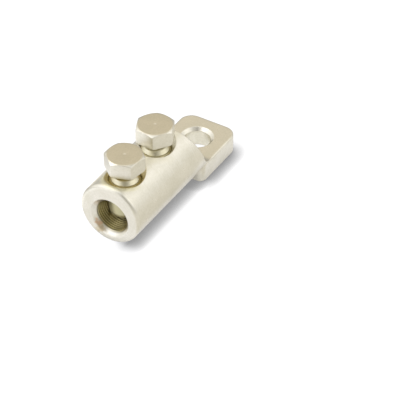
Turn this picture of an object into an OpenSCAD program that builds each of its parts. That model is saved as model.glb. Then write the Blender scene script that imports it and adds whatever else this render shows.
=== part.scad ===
// Mechanical cable lug with two shear bolts.
// Millimetres. The origin is the stud hole's axis on the palm's contact face.
// +X runs along the barrel to its mouth, and +Z points up to the bolt heads.

/* [Barrel] */
// Outside diameter of the barrel
barrel_d = 24; // [20:0.5:30]
// Diameter of the cable bore
bore_d = 12.5; // [11:0.1:15]
// Drop of the bore's axis below the barrel's axis
bore_drop = 1.6; // [0:0.1:2.5]
// Length of the bore past the rear bolt's thread
bore_past = 0.8; // [0.3:0.1:2]
// Angle of the drill point at the bore's end
bore_point = 118; // [90:1:150]
// Width of the chamfer at the bore's mouth
bore_lead = 1.6; // [0.4:0.1:2]
// Rounding of the mouth's outer edge
mouth_round = 1.1; // [0.4:0.1:2]
// Distance from one gripping groove in the bore to the next
groove_pitch = 1; // [0.8:0.1:2]
// Depth of the gripping grooves
groove_depth = 0.35; // [0.1:0.05:0.5]
// Width of the bore's plain wall between two grooves
groove_land = 0.3; // [0.1:0.05:0.6]

/* [Shoulder] */
// Distance from the rear bolt to the shoulder's top edge
shoulder_inset = 9.4; // [8.5:0.1:14]
// Slope of the shoulder from upright
shoulder_slope = 20; // [5:1:35]
// Fillet where the shoulder runs out on the palm
shoulder_fillet = 7; // [2:0.5:8]

/* [Palm] */
// Width of the palm
palm_w = 22.2; // [18:0.1:30]
// Thickness of the palm
palm_t = 7.4; // [5:0.1:9]
// Length of the palm from its foot to its end
palm_l = 25.4; // [22:0.1:40]
// Rounding of the palm's far corners, seen from above
palm_corner_r = 5; // [2:0.1:8]
// Rounding of the palm's long edges
palm_edge_r = 0.6; // [0.2:0.1:1.2]
// Rounding of the foot's corners, seen from above
foot_corner_r = 2.6; // [1.3:0.1:4]
// Reach of the foot ahead of the shoulder's base
foot_reach = 1.5; // [0.5:0.1:3]
// Height of the barrel's underside above the contact face
barrel_lift = 0.2; // [0.1:0.05:0.5]

/* [Stud hole] */
// Diameter of the stud hole
stud_d = 10; // [8:0.1:11]
// Distance from the stud hole's axis to the palm's end
stud_edge = 11.1; // [9:0.1:15]
// Width of the chamfer on the stud hole's upper edge
stud_lead = 1.2; // [0.3:0.1:1.5]

/* [Shear bolts] */
// Distance from the mouth to the front bolt's axis
bolt_inset = 10.6; // [9:0.1:14]
// Distance between the two bolts' axes
bolt_pitch = 19.9; // [17:0.1:26]
// Outside diameter of the bolts' thread
thread_d = 12; // [10:0.1:12.5]
// Step from the thread in to the collar above it
collar_step = 1.1; // [0.5:0.05:2]
// Height of the collar's plain side
collar_h = 1; // [0.6:0.1:2.5]
// Step from the collar in to the neck
neck_step = 1.3; // [0.8:0.05:2]
// Length of the neck under the head
neck_l = 3; // [2:0.05:5]
// Size of the hexagon across its flats
head_af = 13; // [11:0.5:15]
// Height of the hexagon head
head_h = 6.15; // [4:0.05:9]
// Inset of the head's upper chamfer circle from the flats
head_inset = 0.25; // [0:0.05:0.6]
// Inset of the head's lower chamfer circle from the corners
head_low_inset = 0.6; // [0.2:0.05:1.2]
// Angle of the head's two chamfers from level
head_chamfer = 30; // [15:1:40]
// Diameter of the turning mark in the head's centre
centre_d = 0.9; // [0.6:0.1:2]
// Depth of the turning mark
centre_h = 0.15; // [0.05:0.05:0.6]
// Gap between the head and the barrel's top as it stands
head_gap = 1.75; // [1.7:0.05:4]
// Drop of the bolt's tip below the bore's axis as it stands
tip_drop = 3.3; // [0:0.1:3.4]
// Narrowing of the bolt's tip, on the radius
tip_in = 0.35; // [0.2:0.05:1]
// Height of the narrowed tip
tip_h = 1.4; // [0.5:0.1:2.5]
// Turn of the front hexagon's corner from the barrel's axis
front_turn = -9.3; // [-30:0.1:30]
// Turn of the rear hexagon's corner from the barrel's axis
rear_turn = 24.8; // [-30:0.1:30]

/* [Bolt holes] */
// Gap between the thread and its tapped hole, on the radius
thread_gap = 0.05; // [0.02:0.01:0.1]
// Width of the countersink round each bolt hole
pit_rim = 2.85; // [0.5:0.05:3.2]
// Way that a bolt can still be driven down
drive_down = 1.5; // [0.5:0.1:1.6]
// Gap left under the tip of a bolt that is driven down
tip_gap = 0.2; // [0.1:0.05:0.5]

/* [Hidden] */
$fn = 96;
over = 1;
axis_z = barrel_lift + barrel_d / 2;
barrel_top = axis_z + barrel_d / 2;
bore_z = axis_z - bore_drop;
bore_point_l = bore_d / 2 / tan(bore_point / 2);
groove_w = groove_pitch - groove_land;

palm_end_x = -stud_edge;
foot_x = palm_end_x + palm_l;
shoulder_base_x = foot_x - foot_reach;
shoulder_top_x = shoulder_base_x + (barrel_top - palm_t) * tan(shoulder_slope);
fillet_run = shoulder_fillet * tan((90 - shoulder_slope) / 2);
fillet_x = shoulder_base_x - fillet_run;

rear_x = shoulder_top_x + shoulder_inset;
front_x = rear_x + bolt_pitch;
mouth_x = front_x + bolt_inset;
bore_depth = bolt_inset + bolt_pitch + thread_d / 2 + bore_past;
groove_from = bore_lead + groove_land;
groove_count = floor((bore_depth - groove_from) / groove_pitch);

head_z = barrel_top + head_gap;
tip_z = bore_z - tip_drop;
hole_d = thread_d + 2 * thread_gap;
hole_floor_z = tip_z - drive_down - tip_gap;
pit_d = hole_d + 2 * pit_rim;
head_corner_r = head_af / sqrt(3);
head_top_r = head_af / 2 - head_inset;
head_low_r = head_corner_r - head_low_inset;

// A bar's section with all four edges rounded, centred in width.
module bar_section(w, t, r) {
    translate([-w / 2 + r, 0]) square([w - 2 * r, t]);
    translate([-w / 2, r]) square([w, t - 2 * r]);
    for (side = [-1, 1], z = [r, t - r])
        translate([side * (w / 2 - r), z]) circle(r);
}

// Half of a round plate's section with its rim rounded, for turning.
module rim_section(r, t, edge) {
    square([r - edge, t]);
    translate([0, edge]) square([r, t - 2 * edge]);
    for (z = [edge, t - edge])
        translate([r - edge, z]) circle(edge);
}

// A bar along X from one end to the other, with rounded long edges.
module bar_along(x_from, x_to, w) {
    translate([x_from, 0, 0])
        rotate([90, 0, 90])
            linear_extrude(x_to - x_from) bar_section(w, palm_t, palm_edge_r);
}

// A bar across the palm, rounded at both of its ends along X.
module bar_across(x_from, x_to, w) {
    translate([(x_from + x_to) / 2, 0, 0])
        rotate([90, 0, 0])
            linear_extrude(w, center = true) bar_section(x_to - x_from, palm_t, palm_edge_r);
}

// The two corners of the palm that share one place along X.
module palm_corners(x, r) {
    for (side = [-1, 1])
        translate([x, side * (palm_w / 2 - r), 0])
            rotate_extrude() rim_section(r, palm_t, palm_edge_r);
}

// The flat palm: bars between corners that are turned with the same edge.
module palm_plate() {
    far_x = palm_end_x + palm_corner_r;
    near_x = foot_x - foot_corner_r;
    bar_along(far_x, near_x, palm_w);
    bar_across(palm_end_x, foot_x, palm_w - 2 * palm_corner_r);
    bar_across(far_x, foot_x, palm_w - 2 * foot_corner_r);
    palm_corners(far_x, palm_corner_r);
    palm_corners(near_x, foot_corner_r);
}

// The round bar of the barrel, with its mouth's edge rounded.
module barrel_bar() {
    r = barrel_d / 2;
    bar_l = mouth_x - fillet_x;
    translate([fillet_x, 0, axis_z])
        rotate([0, 90, 0])
            rotate_extrude() {
                square([r - mouth_round, bar_l]);
                square([r, bar_l - mouth_round]);
                translate([r - mouth_round, bar_l - mouth_round]) circle(mouth_round);
            }
}

// The side view of what is milled away over the palm, with its fillet.
module shoulder_cut_outline() {
    top_z = barrel_top + over;
    top_x = shoulder_base_x + (top_z - palm_t) * tan(shoulder_slope);
    centre = [fillet_x, palm_t + shoulder_fillet];
    rise = fillet_run * cos(shoulder_slope);
    on_slope = [shoulder_base_x + rise * tan(shoulder_slope), palm_t + rise];
    polygon([centre, on_slope, [top_x, top_z], [fillet_x - over, top_z], [fillet_x - over, palm_t],
        [fillet_x, palm_t]]);
    intersection() {
        translate(centre) circle(shoulder_fillet);
        polygon([centre, [fillet_x, palm_t], [shoulder_base_x, palm_t], on_slope]);
    }
}

// The barrel, sloped down to the palm at its back.
module barrel() {
    difference() {
        barrel_bar();
        rotate([90, 0, 0])
            linear_extrude(barrel_d + 2 * over, center = true) shoulder_cut_outline();
    }
}

// The cable bore: a mouth chamfer, a bore with ring grooves that grip the cable, and the drill's point.
module cable_bore() {
    r = bore_d / 2;
    starts = [for (i = [0:groove_count - 1]) groove_from + i * groove_pitch];
    grooves = [for (s = starts) each [[r, s], [r + groove_depth, s + groove_w / 2], [r, s + groove_w]]];
    translate([mouth_x, 0, bore_z])
        rotate([0, -90, 0])
            rotate_extrude()
                polygon(concat([[0, -over], [r + bore_lead + over, -over], [r, bore_lead]], grooves,
                    [[r, bore_depth], [0, bore_depth + bore_point_l]]));
}

// A tapped hole down into the bore, with its countersink.
module bolt_hole(x) {
    translate([x, 0, hole_floor_z])
        cylinder(d = hole_d, h = barrel_top + over - hole_floor_z);
    translate([x, 0, barrel_top - pit_rim])
        cylinder(d1 = hole_d, d2 = pit_d + 2 * over, h = pit_rim + over);
}

// The stud hole, chamfered on its upper edge.
module stud_hole() {
    translate([0, 0, -over])
        cylinder(d = stud_d, h = palm_t + 2 * over);
    translate([0, 0, palm_t - stud_lead])
        cylinder(d1 = stud_d, d2 = stud_d + 2 * (stud_lead + over), h = stud_lead + over);
}

// Barrel and palm in one piece.
module lug_body() {
    color([0.87, 0.85, 0.78])
        difference() {
            union() {
                barrel();
                palm_plate();
            }
            cable_bore();
            bolt_hole(front_x);
            bolt_hole(rear_x);
            stud_hole();
        }
}

// A hexagon head with its corners turned to a cone at both ends and a mark in its centre.
module hexagon_head(turn) {
    wide_r = head_corner_r + over;
    fall = (wide_r - head_top_r) * tan(head_chamfer);
    rise = (wide_r - head_low_r) * tan(head_chamfer);
    intersection() {
        rotate([0, 0, turn])
            cylinder(r = head_corner_r, h = head_h, $fn = 6);
        rotate_extrude()
            polygon([[0, 0], [head_low_r, 0], [wide_r, rise], [wide_r, head_h - fall],
                [head_top_r, head_h], [centre_d / 2, head_h], [0, head_h - centre_h]]);
    }
}

// Neck, collar, thread and narrowed tip, turned as one.
module shank() {
    length = head_z - tip_z;
    thread_r = thread_d / 2;
    collar_r = thread_r - collar_step;
    neck_r = collar_r - neck_step;
    collar_z = -neck_l - neck_step;
    thread_z = collar_z - collar_h - collar_step;
    rotate_extrude()
        polygon([[0, -length], [thread_r - tip_in, -length], [thread_r, -length + tip_h],
            [thread_r, thread_z], [collar_r, collar_z - collar_h], [collar_r, collar_z],
            [neck_r, -neck_l], [neck_r, over / 2], [0, over / 2]]);
}

// One shear bolt: a hexagon head over a neck that breaks at its torque.
module shear_bolt(x, turn) {
    translate([x, 0, head_z]) {
        hexagon_head(turn);
        shank();
    }
}

module front_shear_bolt() {
    color([0.80, 0.76, 0.66]) shear_bolt(front_x, front_turn);
}

module rear_shear_bolt() {
    color([0.80, 0.76, 0.66]) shear_bolt(rear_x, rear_turn);
}

lug_body();
front_shear_bolt();
rear_shear_bolt();
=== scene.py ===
# %% [markdown]
# # A mechanical cable lug, dressed for its picture
# The lug is a round barrel that takes a bare conductor, two hexagon shear bolts that clamp it, and a flat
# palm that is bolted to a terminal. Its solids come from the imported model, in metres and already in
# place, so this script never places a piece by eye: it reads where a piece is from the imported solids
# and builds the finish there. Lengths in this script are in millimetres, except where a name ends in _M,
# for metres.

# %% Load the imported solids
import math
import bpy
import numpy as np
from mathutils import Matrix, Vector


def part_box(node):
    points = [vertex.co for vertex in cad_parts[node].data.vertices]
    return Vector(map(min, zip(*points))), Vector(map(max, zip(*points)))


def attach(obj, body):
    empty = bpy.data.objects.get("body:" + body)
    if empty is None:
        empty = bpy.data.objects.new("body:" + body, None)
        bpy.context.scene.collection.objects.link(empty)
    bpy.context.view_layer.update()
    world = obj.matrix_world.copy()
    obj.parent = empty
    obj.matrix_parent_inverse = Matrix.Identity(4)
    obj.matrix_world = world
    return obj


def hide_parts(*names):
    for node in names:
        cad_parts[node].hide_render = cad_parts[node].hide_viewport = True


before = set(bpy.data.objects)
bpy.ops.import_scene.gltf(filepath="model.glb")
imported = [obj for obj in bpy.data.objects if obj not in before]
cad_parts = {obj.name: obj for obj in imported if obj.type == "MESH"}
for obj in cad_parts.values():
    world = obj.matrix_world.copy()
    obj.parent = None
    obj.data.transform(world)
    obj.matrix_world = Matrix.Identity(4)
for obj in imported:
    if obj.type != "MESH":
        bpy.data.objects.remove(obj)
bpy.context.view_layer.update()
MM = 0.001

# %% [markdown]
# ## Camera
# The photograph looks down on the mouth from the front with a long lens, so that the barrel hardly
# narrows towards the palm. A camera's place and focal length can be solved from a few known points of the
# object. The values below are that solution, written as where the camera stands and which way it looks.

# %% Camera at the photograph's angle
IMAGE_PX = 400
SENSOR_MM = 36.0
FOCAL_PX = 2476.8
CLIP_FROM_M = 0.01
CAMERA_MM = Vector((609.2, 373.2, 567.7))
LOOK = Vector((-0.6580, -0.4017, -0.6370))

camera_data = bpy.data.cameras.new("photo_camera")
camera_data.sensor_width = SENSOR_MM
camera_data.lens = SENSOR_MM * FOCAL_PX / IMAGE_PX
camera_data.clip_start = CLIP_FROM_M
camera = bpy.data.objects.new("photo_camera", camera_data)
camera.location = CAMERA_MM * MM
camera.rotation_euler = LOOK.to_track_quat("-Z", "Y").to_euler()
bpy.context.scene.collection.objects.link(camera)
bpy.context.scene.camera = camera
print("lens", round(camera_data.lens, 1), "mm, camera", round(CAMERA_MM.length), "mm away")

# %% [markdown]
# ## Small tools
# A colour picked from a screen is sRGB, and a shader wants linear light, so one function turns a hex
# value into linear numbers. A second one adds a node, sets what it is given and links its inputs, which
# keeps each material short enough to read. A few settings come back in every material, so they get short
# names.

# %% Colour and node helpers
SMOOTH = {"interpolation_type": "SMOOTHSTEP"}
COLOURS = {"data_type": "RGBA"}
TIMES = {"operation": "MULTIPLY"}
TIMES_PLUS = {"operation": "MULTIPLY_ADD"}
LESS = {"operation": "SUBTRACT"}
LARGER = {"operation": "MAXIMUM"}
ABOVE = {"operation": "GREATER_THAN"}
SCALE = {"operation": "SCALE"}
LENGTH = {"operation": "LENGTH"}
DISTANCE = {"operation": "DISTANCE"}
DOT = {"operation": "DOT_PRODUCT"}


def linear(hex_colour):
    """Linear red, green, blue and alpha of an sRGB hex value: the screen's curve undone, by channel."""
    srgb = np.array([int(hex_colour[i:i + 2], 16) for i in (0, 2, 4)]) / 255
    light = np.where(srgb <= 0.04045, srgb / 12.92, ((srgb + 0.055) / 1.055) ** 2.4)
    return (*light.tolist(), 1.0)


def add(tree, kind, settings=None, **inputs):
    """Adds a shader node. Settings are its own properties. An input is a value or a socket, and goes to the
    input of that name, or of that number where it is written as i0, i1 and so on."""
    made = tree.nodes.new("ShaderNode" + kind)
    for name, value in (settings or {}).items():
        setattr(made, name, value)
    for name, value in inputs.items():
        key = int(name[1:]) if name[1:].isdigit() else name.replace("_", " ")
        if isinstance(value, bpy.types.NodeSocket):
            tree.links.new(value, made.inputs[key])
        else:
            made.inputs[key].default_value = value
    return made


def empty_tree(data):
    """The node tree of a material or world, with nothing in it."""
    data.use_nodes = True
    data.node_tree.nodes.clear()
    return data.node_tree


print("middle grey 808080 is", round(linear("808080")[0], 3), "in linear light")

# %% [markdown]
# ## Floor
# The lug lies on white paper that is lit from below as well, so the camera sees it as pure white. More
# light from above would burn the metal out. Instead the paper glows, and only for the rays that look at
# it: straight from the camera, or by way of a mirroring face. It is made in steps: the sheet, what the
# metal mirrors in it, its dark line of contact, and the shader that joins them.

# %% Sheet of white paper
PAPER_HALF_M = 1.5

paper_mesh = bpy.data.meshes.new("white_paper")
corner_signs = np.array([(-1, -1, 0), (1, -1, 0), (1, 1, 0), (-1, 1, 0)])
paper_mesh.from_pydata((corner_signs * PAPER_HALF_M).tolist(), [], [(0, 1, 2, 3)])
floor = bpy.data.objects.new("white_paper", paper_mesh)
bpy.context.scene.collection.objects.link(floor)

paper = bpy.data.materials.new("white_paper")
paper_mesh.materials.append(paper)
tree = empty_tree(paper)
metres = add(tree, "TexCoord").outputs["Object"]
place = add(tree, "VectorMath", SCALE, i0=metres, Scale=1 / MM).outputs[0]
along, across, _ = add(tree, "SeparateXYZ", i0=place).outputs
print("paper", 2 * PAPER_HALF_M, "m wide")

# %% [markdown]
# Satin metal that lies on paper mirrors mostly that paper. In the photograph the barrel's lower right is
# duller than its left, and faces that are seen at a flat angle, which mirror the paper behind the lug,
# are dark enough to draw its outline. A photographer gets this with black and white cards laid beside the
# object. Here the glow that a mirroring face sees changes with the place on the paper, which needs no
# extra objects. A patch is a measure in millimetres, where it starts, where it is full, and its tone.
# Each patch covers the ones before it, and the tone of the left lies under them all.

# %% Patches of paper that the metal mirrors
LEFT_TONE = (0.585, 0.585, 0.60, 1)
PALM_SHIFT, PALM_SHIFT_X = -4, (14, 6)
FAR_LEFT_SLANT, FAR_LEFT_X = 0.3, 60
BACK_WAY = (-0.55, -0.83, 0)
WARM_AT = (21, -46, 0)

shift = add(tree, "MapRange", Value=along, From_Min=PALM_SHIFT_X[0], From_Max=PALM_SHIFT_X[1],
            To_Max=PALM_SHIFT).outputs[0]
to_right = add(tree, "Math", i0=across, i1=shift).outputs[0]
beyond = add(tree, "Math", LESS, i0=along, i1=FAR_LEFT_X).outputs[0]
to_left = add(tree, "Math", TIMES_PLUS, i0=beyond, i1=FAR_LEFT_SLANT, i2=across).outputs[0]
to_back = add(tree, "VectorMath", DOT, i0=place, i1=BACK_WAY).outputs["Value"]
from_warm = add(tree, "VectorMath", DISTANCE, i0=place, i1=WARM_AT).outputs["Value"]
patches = {
    "dull right": (to_right, 11, 18, (0.385, 0.365, 0.298, 1)),
    "bright far left": (to_left, -20, -26, (0.82, 0.83, 0.87, 1)),
    "dark back": (to_back, -12, 35, (0.08, 0.08, 0.07, 1)),
    "warm back left": (from_warm, 18, 8, (0.74, 0.665, 0.50, 1)),
}
mirrored = LEFT_TONE
for measure, start, full, tone in patches.values():
    shown = add(tree, "MapRange", SMOOTH, Value=measure, From_Min=start, From_Max=full).outputs[0]
    mirrored = add(tree, "Mix", COLOURS, i0=shown, i6=mirrored, i7=tone).outputs[2]
print("patches that the metal mirrors:", ", ".join(patches))

# %% [markdown]
# Close to the lug the paper lies in its shade, so low faces mirror it darker. Under the stud hole it is
# bright again, because light falls through the hole, and the hole's wall mirrors that.

# %% Shade close to the lug
STUD_FROM_TO, STUD_TONE = (6.0, 4.8), (0.74, 0.74, 0.72, 1)
NEAR_MM, NEAR_DARK = 5, 0.46

in_stud = add(tree, "VectorMath", LENGTH, i0=place).outputs["Value"]
in_stud = add(tree, "MapRange", Value=in_stud, From_Min=STUD_FROM_TO[0],
              From_Max=STUD_FROM_TO[1]).outputs[0]
mirrored = add(tree, "Mix", COLOURS, i0=in_stud, i6=mirrored, i7=STUD_TONE).outputs[2]
near = add(tree, "AmbientOcclusion", {"samples": 8}, Distance=NEAR_MM * MM).outputs["AO"]
near = add(tree, "MapRange", Value=near, To_Min=NEAR_DARK).outputs[0]
near = add(tree, "Math", LARGER, i0=near, i1=in_stud).outputs[0]
mirrored = add(tree, "VectorMath", SCALE, i0=mirrored, Scale=near).outputs[0]
print("the paper's shade reaches", NEAR_MM, "mm")

# %% [markdown]
# In the photograph a dark line runs along the right of the lug, where it meets the paper. A lamp alone
# would make that line too wide under the round barrel and too narrow beside the flat palm. An occlusion
# of short reach that leans to the left draws it evenly: it asks how much of the way towards the lug is
# blocked nearby.

# %% Line of contact
CONTACT_MM = 6.2
CONTACT_LEAN = (-0.15, -0.92, 0.36)
CONTACT_OPEN = (0.12, 0.90)
CONTACT_SIDE = (1, 6)

lean = add(tree, "CombineXYZ", i0=CONTACT_LEAN[0], i1=CONTACT_LEAN[1], i2=CONTACT_LEAN[2]).outputs[0]
contact = add(tree, "AmbientOcclusion", {"samples": 16}, Distance=CONTACT_MM * MM,
              Normal=lean).outputs["AO"]
contact = add(tree, "MapRange", Value=contact, From_Min=CONTACT_OPEN[0],
              From_Max=CONTACT_OPEN[1]).outputs[0]
beside = add(tree, "MapRange", Value=across, From_Min=CONTACT_SIDE[0],
             From_Max=CONTACT_SIDE[1]).outputs[0]
contact = add(tree, "Mix", i0=beside, i2=1.0, i3=contact).outputs[0]
print("the line of contact reaches", CONTACT_MM, "mm")

# %% [markdown]
# Paper is matt: it scatters light evenly, so it is a diffuse surface, which keeps the lamp's shadow. The
# glow is added to it. Light that bounces on to the lug sees the paper as it is. A mirroring face sees it
# dimmer, with the patches from above, and the camera sees it white, with the line of contact.

# %% Paper's shader
PAPER = "e6e6e7"
CAMERA_GAIN, CAMERA_GLOW = 0.25, 1.15
MIRROR_GAIN = 0.58

rays = add(tree, "LightPath").outputs
by_mirror = rays["Is Glossy Ray"]
straight = add(tree, "Math", LARGER, i0=rays["Is Camera Ray"], i1=rays["Is Transmission Ray"]).outputs[0]
gain = add(tree, "Mix", i0=by_mirror, i2=1.0, i3=MIRROR_GAIN).outputs[0]
seen_gain = add(tree, "Math", TIMES, i0=contact, i1=CAMERA_GAIN).outputs[0]
gain = add(tree, "Mix", i0=straight, i2=gain, i3=seen_gain).outputs[0]
colour = add(tree, "VectorMath", SCALE, i0=linear(PAPER)[:3], Scale=gain).outputs[0]
seen_glow = add(tree, "Math", TIMES, i0=contact, i1=CAMERA_GLOW).outputs[0]
seen_glow = add(tree, "VectorMath", SCALE, i0=linear(PAPER)[:3], Scale=seen_glow).outputs[0]
glow = add(tree, "Mix", COLOURS, i0=straight, i6=mirrored, i7=seen_glow).outputs[2]
glowing = add(tree, "Math", LARGER, i0=by_mirror, i1=straight).outputs[0]
matt = add(tree, "BsdfDiffuse", Color=colour)
light = add(tree, "Emission", Color=glow, Strength=glowing)
both = add(tree, "AddShader", i0=matt.outputs[0], i1=light.outputs[0])
add(tree, "OutputMaterial", Surface=both.outputs[0])
print("paper:", len(tree.nodes), "nodes")

# %% [markdown]
# ## Studio
# Satin metal has little colour of its own: it shows what stands around it. The upper faces of this lug
# look tan because they mirror something warm behind it, the upper right of the barrel is bright because
# it mirrors pale cards there, and rounded edges that face the front mirror bright cards at the left.
# Between the lamps stands the dark camera, which shows as a notch in the stud hole's chamfer and as a
# dull line on the mouth's rounded edge. Real cards would do, but a world that changes with direction is
# simpler and has no edges. A card is a direction, the angle in degrees up to which it is full, the angle
# at which it is gone, and its light. Each card covers the ones before it.

# %% World of soft cards
HORIZON, ZENITH = (0.66, 0.65, 0.63, 1), (0.28, 0.28, 0.27, 1)
ZENITH_FROM_TO = (0.78, 0.96)
CARDS = {
    "warm_back": ((-0.66, -0.42, 0.62), 16, 34, (0.80, 0.73, 0.595, 1)),
    "top_right": ((-0.64, 0.12, 0.76), 9, 22, (1.0, 0.97, 0.85, 1)),
    "pale_right": ((-0.58, 0.60, 0.55), 14, 30, (1.14, 1.13, 1.11, 1)),
    "right_low": ((-0.58, 0.80, 0.14), 11, 27, (0.96, 0.95, 0.91, 1)),
    "left": ((-0.13, -0.83, 0.54), 14, 32, (1.10, 1.09, 1.06, 1)),
    "left_low": ((0.35, -0.92, 0.16), 12, 30, (1.12, 1.11, 1.07, 1)),
    "front_left": ((0.54, -0.57, 0.62), 18, 33, (1.40, 1.41, 1.50, 1)),
    "front_low": ((0.90, -0.40, 0.14), 10, 25, (1.35, 1.35, 1.36, 1)),
    "far_right": ((-0.25, 0.72, 0.65), 17, 31, (1.32, 1.31, 1.28, 1)),
    "camera_gap": ((0.82, 0.46, 0.30), 12, 30, (0.50, 0.49, 0.45, 1)),
    "lens": ((0.55, 0.31, 0.77), 4, 12, (0.06, 0.05, 0.03, 1)),
    "back_door": ((-0.80, -0.50, 0.10), 12, 26, (0.40, 0.39, 0.36, 1)),
}

world = bpy.data.worlds.new("studio")
bpy.context.scene.world = world
tree = empty_tree(world)
direction = add(tree, "TexCoord").outputs["Generated"]
height = add(tree, "SeparateXYZ", i0=direction).outputs["Z"]
rise = add(tree, "MapRange", SMOOTH, Value=height, From_Min=ZENITH_FROM_TO[0],
           From_Max=ZENITH_FROM_TO[1]).outputs[0]
sky = add(tree, "Mix", COLOURS, i0=rise, i6=HORIZON, i7=ZENITH).outputs[2]
for towards, full, gone, colour in CARDS.values():
    facing = add(tree, "VectorMath", DOT, i0=direction, i1=Vector(towards).normalized()).outputs["Value"]
    shown = add(tree, "MapRange", SMOOTH, Value=facing, From_Min=math.cos(math.radians(gone)),
                From_Max=math.cos(math.radians(full))).outputs[0]
    sky = add(tree, "Mix", COLOURS, i0=shown, i6=sky, i7=colour).outputs[2]
back = add(tree, "Background", Color=sky, Strength=1.0)
add(tree, "OutputWorld", Surface=back.outputs[0])
print("world with", len(CARDS), "cards")

# %% [markdown]
# The shadow in the photograph is short and dark along the right of the barrel, so the lamp hangs high and
# only a little to the left. A softbox about as wide as it is far away gives the shadow its soft edge.

# %% Key light
KEY_FROM = Vector((0.14, -0.20, 0.96))
KEY_AWAY_M = 1.3
KEY_SIZE_M = 1.4
KEY_WATTS = 5.5

key_data = bpy.data.lights.new("key_softbox", "AREA")
key_data.size = KEY_SIZE_M
key_data.energy = KEY_WATTS
key = bpy.data.objects.new("key_softbox", key_data)
key.location = KEY_FROM.normalized() * KEY_AWAY_M
key.rotation_euler = (-KEY_FROM).to_track_quat("-Z", "Y").to_euler()
bpy.context.scene.collection.objects.link(key)
print("key light", KEY_WATTS, "W at", [round(v, 2) for v in key.location])

# %% [markdown]
# ## Shear bolts
# Each bolt is one turned piece: a hexagon that a spanner drives, a thin neck that snaps when the clamp is
# tight, a cone that widens to a collar, a thread, and a plain tip with a rounded edge. It could be put
# together from primitives with bevels, but the bevels of a hexagon that runs into a cone are fiddly. Here
# the whole bolt is one grid: a half-section of corner points that changes with the angle round the axis,
# with each corner rounded off, carried once round. Heights count from the head's underside.

# %% Sizes of the bolt
HEAD_FLATS, HEAD_HIGH = 13.0, 6.15
HEAD_TOP_R, HEAD_LOW_R = 6.25, 6.9
CHAMFER = math.radians(30)
HEX_EDGE_R = 0.4
MARK_R, MARK_DEEP = 0.45, 0.12
NECK_R, NECK_LONG = 3.9, 3.0
COLLAR_R, COLLAR_FROM, COLLAR_HIGH = 5.2, 4.3, 0.3
THREAD_R, THREAD_FROM, THREAD_LONG = 6.0, 5.4, 7.3

bolt_low, bolt_high = (np.array(corner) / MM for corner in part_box("front_shear_bolt"))
BOLT_LONG = float(bolt_high[2] - bolt_low[2] - HEAD_HIGH)
print("shank below the head:", round(BOLT_LONG, 2), "mm")

# %% [markdown]
# A hexagon's corner is where the light breaks, so the columns of the grid stand closer together there.

# %% Angles round the bolt
COLUMNS_A_FLAT = 40
COLUMN_PULL = 0.13


def bolt_angles():
    """Angles from one corner of the hexagon round to it again. In each sixth, the even steps are pulled
    towards both ends by a sine wave, so that the rounded corners get more columns."""
    even = np.arange(6 * COLUMNS_A_FLAT) / COLUMNS_A_FLAT
    pulled = even - COLUMN_PULL * np.sin(2 * np.pi * even)
    return np.radians(60) * pulled


def hexagon_radius(angle):
    """Radius of a hexagon whose corners are rounded: the flat is the apothem over the cosine of the angle
    from the flat's middle, and near a corner it is the far crossing of the ray with a circle that touches
    both flats."""
    apothem = HEAD_FLATS / 2
    off_flat = np.abs(angle % np.radians(60) - np.radians(30))
    off_corner = np.radians(30) - off_flat
    centre = (apothem - HEX_EDGE_R) / math.cos(math.radians(30))
    inside = np.maximum(HEX_EDGE_R ** 2 - (centre * np.sin(off_corner)) ** 2, 0)
    arc = centre * np.cos(off_corner) + np.sqrt(inside)
    touches = math.atan((apothem - HEX_EDGE_R) * math.tan(math.radians(30)) / apothem)
    return np.where(off_flat < touches, apothem / np.cos(off_flat), arc)


angles = bolt_angles()
print(len(angles), "columns, corner radius", round(float(hexagon_radius(angles).max()), 3), "mm")

# %% [markdown]
# A sharp edge never catches the light, and no turned part has one. Each corner of the half-section is
# replaced by a short parabola: it leaves the line before the corner a little early and joins the next
# line a little late.

# %% Rounded corners of a half-section
CORNER_STEPS = 5
SIDE_SHARE = 0.49


def rounded(corners, cuts):
    """Rounds the inner points of a line of corners. Each corner P gives the points
    (1-t)^2 A + 2t(1-t) P + t^2 B, where A and B lie on the two neighbouring sides at the cut's distance
    from P, but never past a side's middle. The arrays hold one half-section per column, as corner, column,
    and radius and height."""
    sides = corners[1:] - corners[:-1]
    lengths = np.linalg.norm(sides, axis=2, keepdims=True)
    cut = np.array(cuts)[:, None, None]
    start = corners[1:-1] - sides[:-1] * np.minimum(cut / lengths[:-1], SIDE_SHARE)
    end = corners[1:-1] + sides[1:] * np.minimum(cut / lengths[1:], SIDE_SHARE)
    t = np.linspace(0, 1, CORNER_STEPS)[None, :, None, None]
    bends = (1 - t) ** 2 * start[:, None] + 2 * t * (1 - t) * corners[1:-1, None] + t ** 2 * end[:, None]
    bends = bends.reshape(-1, *corners.shape[1:])
    return np.concatenate([corners[:1], bends, corners[-1:]])


def ring(radius, height):
    """One row of the bolt: a radius, which may change with the angle, and a height."""
    return np.stack(np.broadcast_arrays(radius, height, angles)[:2], axis=-1).astype(float)


print("each corner becomes", CORNER_STEPS, "rows")

# %% [markdown]
# The head is a hexagon that a lathe has chamfered at both ends, which leaves an arc on each flat. The
# bottom chamfer is smaller. A shallow centre mark is left on top, from the point that held the bar.

# %% Head, neck and collar
FOOT_INSET = 0.1
HEAD_CUTS = [0.25, 0.2, 0.3, 0.4, 0.2, 0.12, 0.12, 0.12, 0.2]


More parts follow.
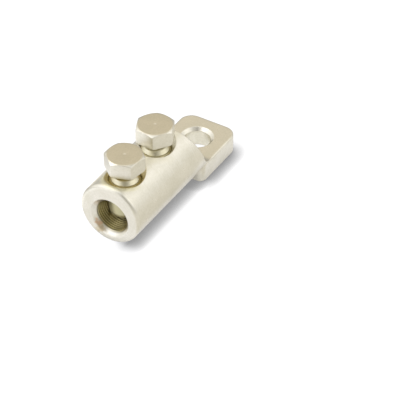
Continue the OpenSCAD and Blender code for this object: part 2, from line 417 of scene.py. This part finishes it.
def head_rows():
    """Rows from the thread's top over the collar, up the neck and over the head to its centre mark. A
    chamfer moves away from its end of the head by the tangent of its angle times the radius past its edge,
    so it cuts deepest at the hexagon's corners."""
    hexagon = hexagon_radius(angles)
    fall = (hexagon - HEAD_TOP_R) * math.tan(CHAMFER)
    foot = np.minimum(hexagon - FOOT_INSET, HEAD_LOW_R)
    rise = (hexagon - foot) * math.tan(CHAMFER)
    corners = np.array([
        ring(THREAD_R, -THREAD_FROM), ring(COLLAR_R, -COLLAR_FROM - COLLAR_HIGH),
        ring(COLLAR_R, -COLLAR_FROM), ring(NECK_R, -NECK_LONG), ring(NECK_R, 0), ring(foot, 0),
        ring(hexagon, rise),
        ring(hexagon, HEAD_HIGH - fall), ring(HEAD_TOP_R, HEAD_HIGH), ring(MARK_R, HEAD_HIGH),
        ring(0, HEAD_HIGH - MARK_DEEP)])
    return rounded(corners, HEAD_CUTS)


print(len(head_rows()), "rows from the thread to the head's centre")

# %% [markdown]
# The thread is a ridge that climbs one pitch per turn. On a grid of level rows it is a wave in the
# height, whose start moves with the angle. It fades out at both ends. Below it the shank is plain,
# because a thread that presses on a conductor would cut its strands.

# %% Thread and tip
ROWS_A_PITCH = 16
THREAD_PITCH, THREAD_DEEP = 1.75, 0.95
THREAD_GAP, THREAD_FADE = 0.1, 1.2
CREST, FLANK = 0.15, 0.65
TIP_IN, TIP_UP, TIP_PLAIN = 0.35, 1.4, 0.4
TIP_CUTS = [1.0, 0.12]


def thread_rows():
    """Rows of the thread: the outer radius less a groove. The groove's place is the height in pitches less
    the angle in turns; its depth is a triangle of that, flat on the crest and smoothed on the flank, times
    a fade at both ends."""
    high = -THREAD_FROM - THREAD_GAP
    low = high - THREAD_LONG
    count = int(THREAD_LONG / THREAD_PITCH * ROWS_A_PITCH)
    height = np.linspace(low, high, count)[:, None]
    turned = (height / THREAD_PITCH - angles[None] / (2 * np.pi)) % 1
    triangle = 1 - np.abs(2 * turned - 1)
    climb = np.clip((triangle - CREST) / FLANK, 0, 1)
    groove = climb * climb * (3 - 2 * climb)
    fade = np.clip(np.minimum(height - low, high - height) / THREAD_FADE, 0, 1)
    radius = THREAD_R - THREAD_DEEP * groove * fade
    return np.stack(np.broadcast_arrays(radius, height), axis=-1)


def tip_rows():
    """Rows from the tip's centre out over its rounded edge and steep chamfer and up the plain shank."""
    corners = np.array([
        ring(0, -BOLT_LONG), ring(THREAD_R - TIP_IN, -BOLT_LONG), ring(THREAD_R, -BOLT_LONG + TIP_UP),
        ring(THREAD_R, -BOLT_LONG + TIP_UP + TIP_PLAIN)])
    return rounded(corners, TIP_CUTS)


bolt_rows = np.concatenate([tip_rows(), thread_rows(), head_rows()])
print("bolt grid:", bolt_rows.shape[0], "rows of", bolt_rows.shape[1], "points")

# %% [markdown]
# The grid becomes a mesh. The first and the last row have no radius, so each shrinks to one point and a
# fan of triangles closes the pole. The last column joins the first, which leaves no seam. Each point also
# keeps where it is from the head's seat on the bolt's axis, so that one finish can follow both bolts.

# %% Closed mesh of a grid
def grid_mesh(name, points, from_seat):
    """A closed mesh of rows of points round an axis. Row i and i+1, column j and j+1 make a square; the
    first and the last row are single points with a fan of triangles."""
    rows, columns = points.shape[:2]
    inner = np.arange((rows - 2) * columns).reshape(rows - 2, columns) + 1
    right = np.roll(inner, -1, axis=1)
    squares = np.stack([inner[:-1], right[:-1], right[1:], inner[1:]], axis=-1).reshape(-1, 4)
    last = 1 + inner.size
    below = np.stack([np.zeros(columns, int), right[0], inner[0]], axis=-1)
    above = np.stack([inner[-1], right[-1], np.full(columns, last)], axis=-1)
    vertices, places = (np.concatenate([grid[0, :1], grid[1:-1].reshape(-1, 3), grid[-1, :1]])
                        for grid in (points, from_seat))
    mesh = bpy.data.meshes.new(name)
    mesh.from_pydata(vertices.tolist(), [], below.tolist() + squares.tolist() + above.tolist())
    mesh.attributes.new("from_seat", "FLOAT_VECTOR", "POINT").data.foreach_set("vector", places.ravel())
    mesh.shade_smooth()
    return mesh


print("a bolt will have", (bolt_rows.shape[0] - 2) * bolt_rows.shape[1] + 2, "points")

# %% [markdown]
# Both bolts are the same piece, screwed in to another angle. Each stands on the axis of its solid and
# takes that solid's place, so it moves with it.

# %% Two bolts in their places
TURNS = {"front": -9.3, "rear": 24.8}

bolts = {}
bolt_x = {}
for which, turn in TURNS.items():
    low, high = (np.array(corner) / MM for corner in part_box(which + "_shear_bolt"))
    axis = (low + high) / 2
    seat = np.array([axis[0], axis[1], high[2] - HEAD_HIGH])
    round_at = angles + math.radians(turn)
    from_seat = np.stack([bolt_rows[..., 0] * np.cos(round_at), bolt_rows[..., 0] * np.sin(round_at),
                          bolt_rows[..., 1]], axis=-1)
    mesh = grid_mesh(which + "_turned_bolt", (from_seat + seat) * MM, from_seat)
    bolt = bpy.data.objects.new(which + "_turned_bolt", mesh)
    bpy.context.scene.collection.objects.link(bolt)
    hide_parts(which + "_shear_bolt")
    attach(bolt, which + "_bolt")
    bolts[which] = bolt
    bolt_x[which] = float(axis[0])
    print(bolt.name, len(mesh.vertices), "points, axis at", np.round(axis[:2], 3).tolist())

# %% [markdown]
# ## Matt tin plating
# The body is milled and bored from aluminium, the bolts are turned from brass, and both are plated with
# matt tin in a bath. Tin is a warm white metal with a soft, satin gloss. The bath leaves it cloudy in
# patches of a few millimetres, and its crystals scatter the light like very fine sand. Under the plating
# the cutting tool's lines still show faintly, and where pieces knock together in the plating drum the
# edges are rubbed smooth. Their lighter colour is partly that wear and partly a painted highlight. A
# picture of a surface could be pasted on, but noise worked out in millimetres has no seams and fits every
# face. The crystals and the tool's lines are really finer than a pixel of this picture, so both are
# drawn as coarse as they need to show.

# %% Plating that body and bolts share
CLOUD_MM, CRYSTAL_MM, TOOL_LINE_MM = 5.0, 0.75, 0.5
LINE_SHARE, FINE_SHARE = 0.35, 0.55
TONE_FROM_TO = (0.32, 0.68)
RUBBED_AND_HIGHLIT_FROM_TO, RUBBED_AND_HIGHLIT_SHARE = (0.99, 0.90), 0.6
TIN_DULL, TIN_CLEAR, TIN_RUBBED_AND_HIGHLIT = "e0dccd", "ebe7db", "f0ede3"
ROUGH_DULL, ROUGH_CLEAR, ROUGH_RUBBED = 0.37, 0.27, 0.26
BUMP_MM = 0.012


def tin_plating(tree, place, tool_way, edge):
    """Colour, roughness and normal of clean plating. Place is in mm, and so is tool_way, the distance that
    the cutting tool has gone; edge is the radius of the rounding, in metres. The tone is a weighted sum of
    clouds, crystals and tool lines; the bump is the last two; an edge is where the surface's normal differs
    from its average over a small ball, and there the colour is lighter: partly rubbed wear, partly a
    painted highlight."""
    clouds = add(tree, "TexNoise", Vector=place, Scale=1 / CLOUD_MM, Detail=3.0).outputs[0]
    crystals = add(tree, "TexNoise", Vector=place, Scale=1 / CRYSTAL_MM, Detail=2.0).outputs[0]
    lines = add(tree, "TexNoise", {"noise_dimensions": "1D"}, W=tool_way, Scale=1 / TOOL_LINE_MM).outputs[0]
    fine = add(tree, "Mix", i0=LINE_SHARE, i2=crystals, i3=lines).outputs[0]
    tone = add(tree, "Mix", i0=FINE_SHARE, i2=clouds, i3=fine).outputs[0]
    tone = add(tree, "MapRange", SMOOTH, Value=tone, From_Min=TONE_FROM_TO[0],
               From_Max=TONE_FROM_TO[1]).outputs[0]

    soft = add(tree, "Bevel", {"samples": 8}, Radius=edge).outputs[0]
    flat = add(tree, "NewGeometry").outputs["Normal"]
    agree = add(tree, "VectorMath", DOT, i0=soft, i1=flat).outputs["Value"]
    rubbed_and_highlit = add(tree, "MapRange", Value=agree, From_Min=RUBBED_AND_HIGHLIT_FROM_TO[0], From_Max=RUBBED_AND_HIGHLIT_FROM_TO[1],
                 To_Max=RUBBED_AND_HIGHLIT_SHARE).outputs[0]

    colour = add(tree, "Mix", COLOURS, i0=tone, i6=linear(TIN_DULL), i7=linear(TIN_CLEAR)).outputs[2]
    # Lighter colour on the edges: partly rubbed wear, partly a painted highlight.
    colour = add(tree, "Mix", COLOURS, i0=rubbed_and_highlit, i6=colour, i7=linear(TIN_RUBBED_AND_HIGHLIT)).outputs[2]
    rough = add(tree, "Mix", i0=tone, i2=ROUGH_DULL, i3=ROUGH_CLEAR).outputs[0]
    rough = add(tree, "Mix", i0=rubbed_and_highlit, i2=rough, i3=ROUGH_RUBBED).outputs[0]
    normal = add(tree, "Bump", Height=fine, Distance=BUMP_MM * MM, Normal=soft).outputs[0]
    return colour, rough, normal


print("clouds", CLOUD_MM, "mm, crystals", CRYSTAL_MM, "mm, tool lines", TOOL_LINE_MM, "mm")

# %% [markdown]
# ## Finish of the body
# The body keeps the mesh of its solid, and its finest roundings come from the material, where the Bevel
# node turns the normal near an edge. The palm's outer edges and the mouth's rim are rounder than the
# rest, while the stud hole's chamfer stays crisp, so the width of the rounding changes with the place.
# The tool's lines run round the barrel, and round its axis on the mouth, so the tool's way is the
# distance along the axis less the distance from it.

# %% Body's places, edges and plating
BARREL_Z = 12.2
EDGE_MM, PALM_EDGE_MM, RIM_EDGE_MM = 0.3, 0.8, 2.0
PALM_FROM_TO, STUD_CLEAR = (7.0, 4.0), (7.4, 8.2)
RIM_BEHIND, RIM_FROM_TO = (5, 3), (7.6, 9.6)

mouth_x, _, barrel_top = (float(value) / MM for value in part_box("lug_body")[1])
body_tin = bpy.data.materials.new("tin_plated_aluminium_body")
tree = empty_tree(body_tin)
metres = add(tree, "TexCoord").outputs["Object"]
place = add(tree, "VectorMath", SCALE, i0=metres, Scale=1 / MM).outputs[0]
along, across, up = add(tree, "SeparateXYZ", i0=place).outputs
from_axis = add(tree, "Mapping", Vector=place, Location=(0, 0, -BARREL_Z), Scale=(0, 1, 1)).outputs[0]
from_axis = add(tree, "VectorMath", LENGTH, i0=from_axis).outputs["Value"]
tool_way = add(tree, "Math", LESS, i0=along, i1=from_axis).outputs[0]

from_stud = add(tree, "VectorMath", TIMES, i0=place, i1=(1, 1, 0)).outputs[0]
from_stud = add(tree, "VectorMath", LENGTH, i0=from_stud).outputs["Value"]
palm = add(tree, "MapRange", Value=from_stud, From_Min=STUD_CLEAR[0], From_Max=STUD_CLEAR[1]).outputs[0]
on_palm = add(tree, "MapRange", Value=along, From_Min=PALM_FROM_TO[0],
              From_Max=PALM_FROM_TO[1]).outputs[0]
palm = add(tree, "Math", TIMES, i0=palm, i1=on_palm).outputs[0]
rim = add(tree, "MapRange", Value=from_axis, From_Min=RIM_FROM_TO[0], From_Max=RIM_FROM_TO[1]).outputs[0]
at_mouth = add(tree, "MapRange", Value=along, From_Min=mouth_x - RIM_BEHIND[0],
               From_Max=mouth_x - RIM_BEHIND[1]).outputs[0]
rim = add(tree, "Math", TIMES, i0=rim, i1=at_mouth).outputs[0]
edge = add(tree, "Mix", i0=palm, i2=EDGE_MM * MM, i3=PALM_EDGE_MM * MM).outputs[0]
edge = add(tree, "Mix", i0=rim, i2=edge, i3=RIM_EDGE_MM * MM).outputs[0]
colour, rough, normal = tin_plating(tree, place, tool_way, edge)
print("edges rounded by", EDGE_MM, "mm, the palm's by", PALM_EDGE_MM, "mm, the rim by", RIM_EDGE_MM, "mm")

# %% [markdown]
# Inside the bore the colour turns a dark gold, darker in the grooves than on their crests: a painted
# shade, for the shade that falls inside the bore and deepest in its grooves. It is a colour that comes in
# by the distance from the bore's axis. It starts just inside the mouth, on a slant: a little deeper at
# the left than at the right.

# %% Painted shade in the bore, dark gold
BORE_R, BORE_Z, BORE_END_X = 6.25, 10.6, 17.5
GROOVE_FROM, GROOVE_DEEP = 0.05, 0.35
BORE_SHADE_CREST, BORE_SHADE_GROOVE, BORE_SHADE_ROUGH = "b9ad7a", "6a5e34", 0.30
BORE_SHADE_SLANT, BORE_SHADE_BEHIND, BORE_SHADE_FADE = 0.12, (0.2, 2.3), 0.6

in_bore = add(tree, "Mapping", Vector=place, Location=(0, 0, -BORE_Z), Scale=(0, 1, 1)).outputs[0]
in_bore = add(tree, "VectorMath", LENGTH, i0=in_bore).outputs["Value"]
gold_tint = add(tree, "MapRange", Value=in_bore, From_Min=BORE_R + GROOVE_DEEP + BORE_SHADE_FADE,
           From_Max=BORE_R + GROOVE_DEEP).outputs[0]
slanted = add(tree, "Math", TIMES_PLUS, i0=across, i1=-BORE_SHADE_SLANT, i2=along).outputs[0]
past_mouth = add(tree, "MapRange", SMOOTH, Value=slanted, From_Min=mouth_x - BORE_SHADE_BEHIND[0],
                 From_Max=mouth_x - BORE_SHADE_BEHIND[1]).outputs[0]
gold_tint = add(tree, "Math", TIMES, i0=gold_tint, i1=past_mouth).outputs[0]
before_end = add(tree, "Math", ABOVE, i0=along, i1=BORE_END_X).outputs[0]
gold_tint = add(tree, "Math", TIMES, i0=gold_tint, i1=before_end).outputs[0]
groove = add(tree, "MapRange", Value=in_bore, From_Min=BORE_R + GROOVE_FROM,
             From_Max=BORE_R + GROOVE_DEEP).outputs[0]
# Painted shade: dark gold in the bore, darker still in the grooves.
shade_gold = add(tree, "Mix", COLOURS, i0=groove, i6=linear(BORE_SHADE_CREST), i7=linear(BORE_SHADE_GROOVE)).outputs[2]
colour = add(tree, "Mix", COLOURS, i0=gold_tint, i6=colour, i7=shade_gold).outputs[2]
rough = add(tree, "Mix", i0=gold_tint, i2=rough, i3=BORE_SHADE_ROUGH).outputs[0]
print("film from", BORE_SHADE_BEHIND[0], "mm behind the mouth to x", BORE_END_X)

# %% [markdown]
# The pits round the bolts get a painted shade: a colour that is hardly metallic, pale and gold, and hides
# the plating. A pit is a cone that gains a millimetre of radius for each millimetre of height, so a point
# is inside it where its distance from the bolt's axis is less than that radius. The painted shade gets
# stronger with depth, and in the rear pit it is weak at the left. Down in the bore only the left of each
# hole has it.

# %% Painted shade in the pits
HOLE_R, PIT_WIDE, PIT_EDGE = 6.05, 2.85, (0.2, -0.05)
PIT_SHADE_COLOURS, PIT_METAL = {"front": "d2c07a", "rear": "e2dcc0"}, 0.12
PIT_TOP, PIT_DEPTH = {"front": 0.75, "rear": 0.15}, (0.5, 2.8)
PIT_LEFT, PIT_LEFT_Y = {"front": 1.0, "rear": 0.2}, (-5.5, -3)
BORE_SHARE, BORE_SHARE_Y, BORE_CLEAR = (1.0, 0.1), (-4, -2), 0.3

pit_r = add(tree, "Math", LESS, i0=up, i1=barrel_top - PIT_WIDE - HOLE_R).outputs[0]
pit_r = add(tree, "Math", LARGER, i0=pit_r, i1=HOLE_R).outputs[0]
above_bore = add(tree, "Math", ABOVE, i0=up, i1=BORE_Z + BORE_R + BORE_CLEAR).outputs[0]
bore_share = add(tree, "MapRange", Value=across, From_Min=BORE_SHARE_Y[0], From_Max=BORE_SHARE_Y[1],
                 To_Min=BORE_SHARE[0], To_Max=BORE_SHARE[1]).outputs[0]
kept = add(tree, "Math", LARGER, i0=above_bore, i1=bore_share).outputs[0]
metal = 1.0
outside, inside = {}, {}
for which, x in bolt_x.items():
    from_bolt = add(tree, "Mapping", Vector=place, Location=(-x, 0, 0), Scale=(1, 1, 0)).outputs[0]
    from_bolt = add(tree, "VectorMath", LENGTH, i0=from_bolt).outputs["Value"]
    outside[which] = add(tree, "Math", LESS, i0=from_bolt, i1=pit_r).outputs[0]
    inside[which] = add(tree, "MapRange", Value=outside[which], From_Min=PIT_EDGE[0],
                        From_Max=PIT_EDGE[1]).outputs[0]
    deep = add(tree, "MapRange", Value=up, From_Min=barrel_top - PIT_DEPTH[0],
               From_Max=barrel_top - PIT_DEPTH[1], To_Min=PIT_TOP[which]).outputs[0]
    left = add(tree, "MapRange", Value=across, From_Min=PIT_LEFT_Y[0], From_Max=PIT_LEFT_Y[1],
               To_Min=PIT_LEFT[which]).outputs[0]
    pit_shade = inside[which]
    for share in (deep, left, kept):
        pit_shade = add(tree, "Math", TIMES, i0=pit_shade, i1=share).outputs[0]
    # Painted shade: gold, hardly metallic colour in the pits, stronger with depth.
    colour = add(tree, "Mix", COLOURS, i0=pit_shade, i6=colour, i7=linear(PIT_SHADE_COLOURS[which])).outputs[2]
    metal = add(tree, "Mix", i0=pit_shade, i2=metal, i3=PIT_METAL).outputs[0]
print("pits", 2 * (HOLE_R + PIT_WIDE), "mm wide at the top")

# %% [markdown]
# On the barrel in front of each pit, towards the mouth, the colour turns a pale yellow that is hardly
# metallic and fades out over a few millimetres, so the barrel mirrors less there.

# %% Pale yellow in front of the pits
PALE_AHEAD_COLOURS, PALE_AHEAD_SHARE = {"front": "e4dcae", "rear": "f4eed8"}, 0.85
PALE_AHEAD_WIDE, PALE_AHEAD_FROM = {"front": 2.4, "rear": 4.0}, 0.2
PALE_AHEAD_REACH, PALE_AHEAD_DOWN = 5, 4

on_top = add(tree, "Math", ABOVE, i0=up, i1=barrel_top - PALE_AHEAD_DOWN).outputs[0]
for which, x in bolt_x.items():
    pale_ahead = add(tree, "MapRange", Value=outside[which], From_Min=PALE_AHEAD_WIDE[which], From_Max=PALE_AHEAD_FROM,
                To_Max=PALE_AHEAD_SHARE).outputs[0]
    ahead = add(tree, "MapRange", Value=along, From_Min=x, From_Max=x + PALE_AHEAD_REACH).outputs[0]
    for share in (ahead, on_top):
        pale_ahead = add(tree, "Math", TIMES, i0=pale_ahead, i1=share).outputs[0]
    pale_ahead = add(tree, "Math", {**LESS, "use_clamp": True}, i0=pale_ahead, i1=inside[which]).outputs[0]
    # Pale yellow, hardly metallic colour in front of each pit.
    colour = add(tree, "Mix", COLOURS, i0=pale_ahead, i6=colour, i7=linear(PALE_AHEAD_COLOURS[which])).outputs[2]
    metal = add(tree, "Mix", i0=pale_ahead, i2=metal, i3=PIT_METAL).outputs[0]
print("pale film up to", max(PALE_AHEAD_WIDE.values()), "mm wide")

# %% [markdown]
# At the lower left of the mouth, on the slope that leads into the bore, the plating is worn in three
# small spots with a beige to pinkish tone. A spot is a ball round a point, and noise makes its edge
# ragged.

# %% Worn spots at the mouth
WORN_SPOTS = (
    ((58.8, -4.5, 4.3), "d4c8aa", 1.5),
    ((58.0, -5.3, 5.9), "dcb48e", 1.1),
    ((58.4, -3.2, 3.9), "c6b494", 1.1),
)
WORN_FADE, WORN_SHARE = (0.6, -0.9), 0.75
RAGGED_MM, RAGGED_FROM_TO = 1.6, (0.3, 0.7)

ragged = add(tree, "TexNoise", Vector=place, Scale=1 / RAGGED_MM, Detail=3.0).outputs[0]
ragged = add(tree, "MapRange", Value=ragged, From_Min=RAGGED_FROM_TO[0], From_Max=RAGGED_FROM_TO[1],
             To_Min=-1.0, To_Max=1.0).outputs[0]
for spot, worn_colour, worn_r in WORN_SPOTS:
    away = add(tree, "VectorMath", DISTANCE, i0=place, i1=spot).outputs["Value"]
    away = add(tree, "Math", i0=away, i1=ragged).outputs[0]
    worn = add(tree, "MapRange", SMOOTH, Value=away, From_Min=worn_r + WORN_FADE[0],
               From_Max=worn_r + WORN_FADE[1], To_Max=WORN_SHARE).outputs[0]
    colour = add(tree, "Mix", COLOURS, i0=worn, i6=colour, i7=linear(worn_colour)).outputs[2]
print(len(WORN_SPOTS), "worn spots")

# %% [markdown]
# The shader takes the colour, the share of metal, the roughness and the normal that the cells above have
# built.

# %% Body's shader
shader = add(tree, "BsdfPrincipled", Base_Color=colour, Metallic=metal, Roughness=rough, Normal=normal)
add(tree, "OutputMaterial", Surface=shader.outputs[0])
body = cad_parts["lug_body"]
body.data.materials.clear()
body.data.materials.append(body_tin)
print("body finish:", len(tree.nodes), "nodes")

# %% [markdown]
# ## Finish of the bolts
# The bolts have the same plating. A lathe has faced the heads, so the tool's lines are rings there, and
# they run round the shank too. The top is tinted a little darker than the flats, and its centre mark is
# tinted pale and is partly not metallic.

# %% Bolts' plating, faced top and centre mark
TOP_TINT, FACED_BELOW = "f2efe8", (0.25, 0.13)
MARK_COLOUR, MARK_SHARE, MARK_EDGE = "fffbf0", 0.22, (0.25, -0.1)

bolt_tin = bpy.data.materials.new("tin_plated_brass_bolt")
tree = empty_tree(bolt_tin)
metres = add(tree, "TexCoord").outputs["Object"]
place = add(tree, "VectorMath", SCALE, i0=metres, Scale=1 / MM).outputs[0]
along = add(tree, "SeparateXYZ", i0=place).outputs["X"]
from_seat = add(tree, "Attribute", {"attribute_name": "from_seat"}).outputs["Vector"]
up = add(tree, "SeparateXYZ", i0=from_seat).outputs["Z"]
from_axis = add(tree, "VectorMath", TIMES, i0=from_seat, i1=(1, 1, 0)).outputs[0]
from_axis = add(tree, "VectorMath", LENGTH, i0=from_axis).outputs["Value"]
tool_way = add(tree, "Math", LESS, i0=from_axis, i1=up).outputs[0]
colour, rough, normal = tin_plating(tree, place, tool_way, EDGE_MM * MM)

# The head's top is tinted a little darker than the flats.
faced = add(tree, "MapRange", Value=up, From_Min=HEAD_HIGH - FACED_BELOW[0],
            From_Max=HEAD_HIGH - FACED_BELOW[1]).outputs[0]
colour = add(tree, "Mix", {**COLOURS, "blend_type": "MULTIPLY"}, i0=faced, i6=colour,
             i7=linear(TOP_TINT)).outputs[2]
# The centre mark is tinted pale and is partly not metallic.
mark = add(tree, "MapRange", Value=from_axis, From_Min=MARK_R + MARK_EDGE[0],
           From_Max=MARK_R + MARK_EDGE[1], To_Max=MARK_SHARE).outputs[0]
mark = add(tree, "Math", TIMES, i0=mark, i1=faced).outputs[0]
colour = add(tree, "Mix", COLOURS, i0=mark, i6=colour, i7=linear(MARK_COLOUR)).outputs[2]
metal = add(tree, "Math", LESS, i0=1.0, i1=mark).outputs[0]
print("faced tops with a mark", 2 * MARK_R, "mm wide")

# %% [markdown]
# Under the head the neck and the collar are tinted gold. Below the collar, where the bolt enters its
# hole, a darker gold that is hardly metallic paints the shade there, as in the pits, with less of it on
# the rear bolt.

# %% Gold tint on neck and collar, painted shade at the seat
COLLAR_GOLD, COLLAR_SHARE, COLLAR_FADE = "d3cba4", 0.6, (0.4, -0.6)
SEAT_SHADE, SEAT_METAL, SEAT_REAR = "cbb974", 0.25, 0.35
SEAT_BELOW, SEAT_DOWN = (0.1, 0.5), 1

gold_tint = add(tree, "MapRange", SMOOTH, Value=up, From_Min=COLLAR_FADE[0], From_Max=COLLAR_FADE[1],
           To_Max=COLLAR_SHARE).outputs[0]
colour = add(tree, "Mix", COLOURS, i0=gold_tint, i6=colour, i7=linear(COLLAR_GOLD)).outputs[2]
# Painted shade: a darker gold where the bolt enters its hole.
seat = add(tree, "MapRange", Value=up, From_Min=-COLLAR_FROM - SEAT_BELOW[0],
           From_Max=-COLLAR_FROM - SEAT_BELOW[1]).outputs[0]
above_thread = add(tree, "MapRange", Value=up, From_Min=-THREAD_FROM - SEAT_DOWN,
                   From_Max=-THREAD_FROM).outputs[0]
which_bolt = add(tree, "MapRange", Value=along, From_Min=bolt_x["rear"], From_Max=bolt_x["front"],
                 To_Min=SEAT_REAR).outputs[0]
for share in (above_thread, which_bolt):
    seat = add(tree, "Math", TIMES, i0=seat, i1=share).outputs[0]
colour = add(tree, "Mix", COLOURS, i0=seat, i6=colour, i7=linear(SEAT_SHADE)).outputs[2]
metal = add(tree, "Mix", i0=seat, i2=metal, i3=SEAT_METAL).outputs[0]
print("seat film", round(THREAD_FROM - COLLAR_FROM, 2), "mm high")

# %% [markdown]
# The tip stands in the bore and is coloured a pale gold that is only partly metallic. Its last two
# millimetres are darker: a painted shade.

# %% Pale gold tip with a painted shade at its end
TIP_GOLD, TIP_METAL, TIP_ROUGH = "d3cda6", 0.55, 0.42
TIP_RIM_SHADE, TIP_RIM_HIGH, TIP_RIM_FADE = "b4ab82", 1.9, 0.2
TIP_ABOVE = (2, 0.5)

thread_end = -THREAD_FROM - THREAD_LONG
tip = add(tree, "MapRange", Value=up, From_Min=thread_end + TIP_ABOVE[0],
          From_Max=thread_end + TIP_ABOVE[1]).outputs[0]
# Painted shade: the tip's last millimetres are darker.
rim_top = TIP_RIM_HIGH - BOLT_LONG
rim = add(tree, "MapRange", Value=up, From_Min=rim_top + TIP_RIM_FADE,
          From_Max=rim_top - TIP_RIM_FADE).outputs[0]
tip_colour = add(tree, "Mix", COLOURS, i0=rim, i6=linear(TIP_GOLD), i7=linear(TIP_RIM_SHADE)).outputs[2]
colour = add(tree, "Mix", COLOURS, i0=tip, i6=colour, i7=tip_colour).outputs[2]
metal = add(tree, "Mix", i0=tip, i2=metal, i3=TIP_METAL).outputs[0]
rough = add(tree, "Mix", i0=tip, i2=rough, i3=TIP_ROUGH).outputs[0]
print("film on the tip's lowest", round(BOLT_LONG + thread_end + TIP_ABOVE[0], 2), "mm")

# %% [markdown]
# Both bolts share one material, because the gold tints, the painted shade and the rings follow each bolt's
# own seat.

# %% Bolts' shader
shader = add(tree, "BsdfPrincipled", Base_Color=colour, Metallic=metal, Roughness=rough, Normal=normal)
add(tree, "OutputMaterial", Surface=shader.outputs[0])
for bolt in bolts.values():
    bolt.data.materials.append(bolt_tin)
print("bolt finish:", len(tree.nodes), "nodes")

# %% [markdown]
# ## Finish
# The Standard view shows each colour about as it is written.

# %% Standard view
bpy.context.scene.view_settings.view_transform = "Standard"
